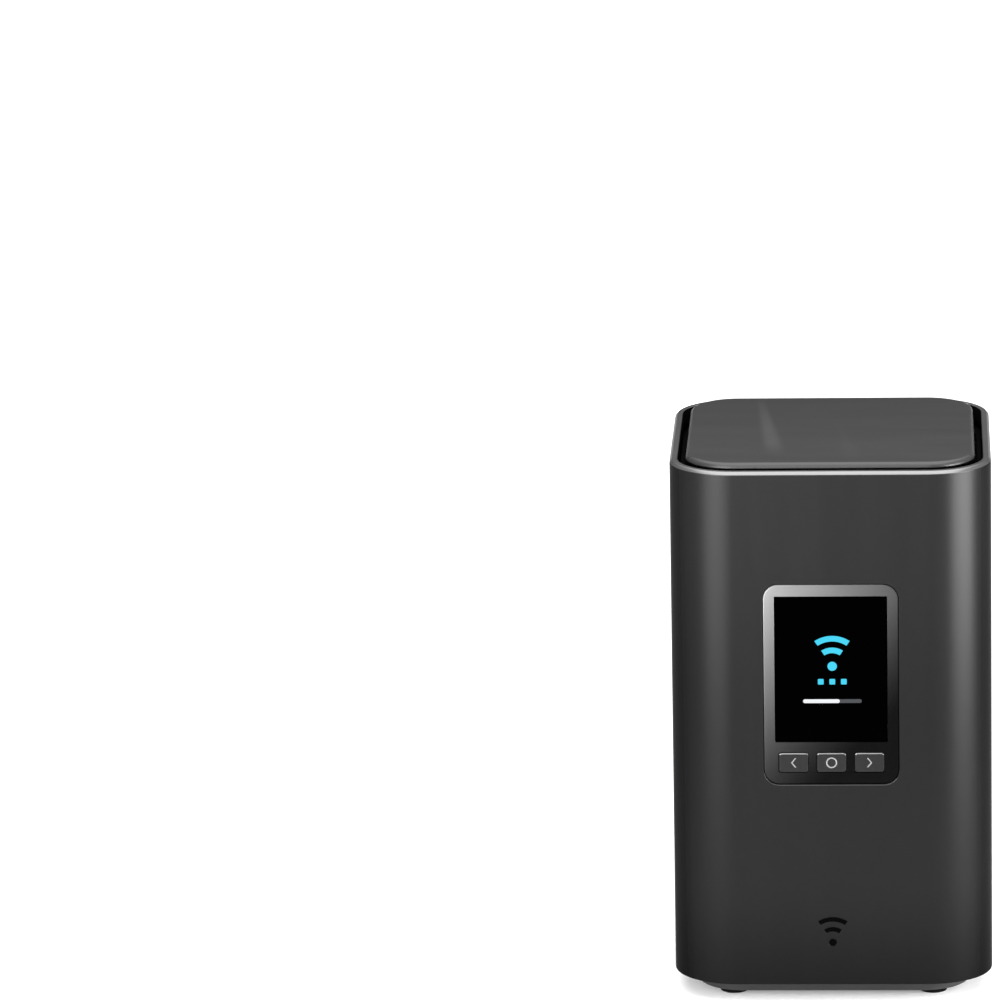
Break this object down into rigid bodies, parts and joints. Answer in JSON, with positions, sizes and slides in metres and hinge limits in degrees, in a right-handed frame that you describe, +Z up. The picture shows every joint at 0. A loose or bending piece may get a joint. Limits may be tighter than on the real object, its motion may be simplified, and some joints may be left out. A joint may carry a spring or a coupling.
{
  "type": "cellular internet gateway",
  "caption": "Tower-shaped home cellular hotspot with a front colour display and keys, a floating top plate over a vent gap, and a rear panel of network, power and card sockets.",
  "frame": {"origin": "on the floor under the centre of the tower", "axes": "+Z up; the display faces -Y; +X is to the viewer's right when facing the display"},
  "size_m": [0.123, 0.123, 0.213],
  "materials": {
    "graphite_shell": "satin, with a fine moulded grain",
    "top_plate_satin": "satin, fine grain",
    "vent_black": "matt black",
    "base_plastic": "fine matt grain",
    "foot_rubber": "matt",
    "label_film": "blank printed film, satin",
    "bezel_metal": "brushed gunmetal, satin",
    "screen_glass": "polished, almost opaque black",
    "lcd_module": "satin",
    "bracket_metal": "plain pressed sheet",
    "emblem_gloss": "glossy black inlay",
    "key_plastic": "satin",
    "legend_white": "printed light grey",
    "plunger_plastic": "natural plastic",
    "circuit_board": "solder mask, semi-gloss",
    "switch_body": "matt",
    "flex_film": "amber polyimide film",
    "panel_plastic": "fine matt grain",
    "jack_plastic": "moulded, semi-gloss",
    "contact_gold": "gold plated",
    "led_lens": "milky clear lens, unlit",
    "socket_steel": "plated, satin",
    "button_plastic": "satin",
    "reset_plastic": "matt",
    "tray_plastic": "fine matt grain",
    "card_plastic": "card with a plated contact face",
    "chassis_plastic": "plain moulded",
    "shield_steel": "tinned sheet",
    "pad_silicone": "soft silicone pad",
    "heatsink_aluminium": "plain extruded",
    "carrier_plastic": "plain moulded",
    "antenna_foil": "copper foil",
    "cable_jacket": "thin coaxial jacket",
    "screw_steel": "black zinc"
  },
  "bodies": {
    "enclosure": {"outer_shell": "graphite_shell", "top_plate": "top_plate_satin", "vent_grille": "vent_black", "base_tray": "base_plastic", "rubber_feet": "foot_rubber", "rating_label": "label_film", "display_bezel": "bezel_metal", "display_glass": "screen_glass", "lcd_panel": "lcd_module", "display_bracket": "bracket_metal", "front_emblem": "emblem_gloss", "key_board": "circuit_board", "main_board": "circuit_board", "modem_module": "circuit_board", "key_switches": "switch_body", "power_switch": "switch_body", "reset_switch": "switch_body", "modem_connector": "switch_body", "key_flex": "flex_film", "display_flex": "flex_film", "io_panel": "panel_plastic", "lan_jack_lower": "jack_plastic", "lan_jack_upper": "jack_plastic", "usb_c_tongue": "jack_plastic", "lan_contacts": "contact_gold", "lan_leds": "led_lens", "usb_c_inlet": "socket_steel", "sim_reader": "socket_steel", "chassis": "chassis_plastic", "soc_shield": "shield_steel", "wifi_shield": "shield_steel", "thermal_pads": "pad_silicone", "main_heatsink": "heatsink_aluminium", "modem_heatsink": "heatsink_aluminium", "left_antenna_carrier": "carrier_plastic", "right_antenna_carrier": "carrier_plastic", "cellular_antennas": "antenna_foil", "wifi_antennas": "antenna_foil", "antenna_cables": "cable_jacket", "base_screws": "screw_steel", "plate_screws": "screw_steel", "bracket_screws": "screw_steel", "board_screws": "screw_steel", "main_heatsink_screws": "screw_steel", "modem_heatsink_screws": "screw_steel"},
    "left_key": {"left_key": "key_plastic", "left_key_legend": "legend_white", "left_key_plunger": "plunger_plastic"},
    "home_key": {"home_key": "key_plastic", "home_key_legend": "legend_white", "home_key_plunger": "plunger_plastic"},
    "right_key": {"right_key": "key_plastic", "right_key_legend": "legend_white", "right_key_plunger": "plunger_plastic"},
    "power_button": {"power_button": "button_plastic", "power_plunger": "plunger_plastic"},
    "reset_button": {"reset_plunger": "reset_plastic"},
    "sim_tray": {"sim_tray": "tray_plastic", "sim_card": "card_plastic"}
  },
  "joints": [
    {"name": "left_key_press", "type": "slide", "parent": "enclosure", "child": "left_key", "axis": [0, 1, 0], "range_m": [0, 0.0005], "stiffness_N_per_m": 2400},
    {"name": "home_key_press", "type": "slide", "parent": "enclosure", "child": "home_key", "axis": [0, 1, 0], "range_m": [0, 0.0005], "stiffness_N_per_m": 2400},
    {"name": "right_key_press", "type": "slide", "parent": "enclosure", "child": "right_key", "axis": [0, 1, 0], "range_m": [0, 0.0005], "stiffness_N_per_m": 2400},
    {"name": "power_button_press", "type": "slide", "parent": "enclosure", "child": "power_button", "axis": [0, -1, 0], "range_m": [0, 0.0008], "stiffness_N_per_m": 2400},
    {"name": "reset_press", "type": "slide", "parent": "enclosure", "child": "reset_button", "axis": [0, -1, 0], "range_m": [0, 0.0004], "stiffness_N_per_m": 3000},
    {"name": "sim_tray_slide", "type": "slide", "parent": "enclosure", "child": "sim_tray", "axis": [0, 1, 0], "range_m": [0, 0.018]}
  ]
}
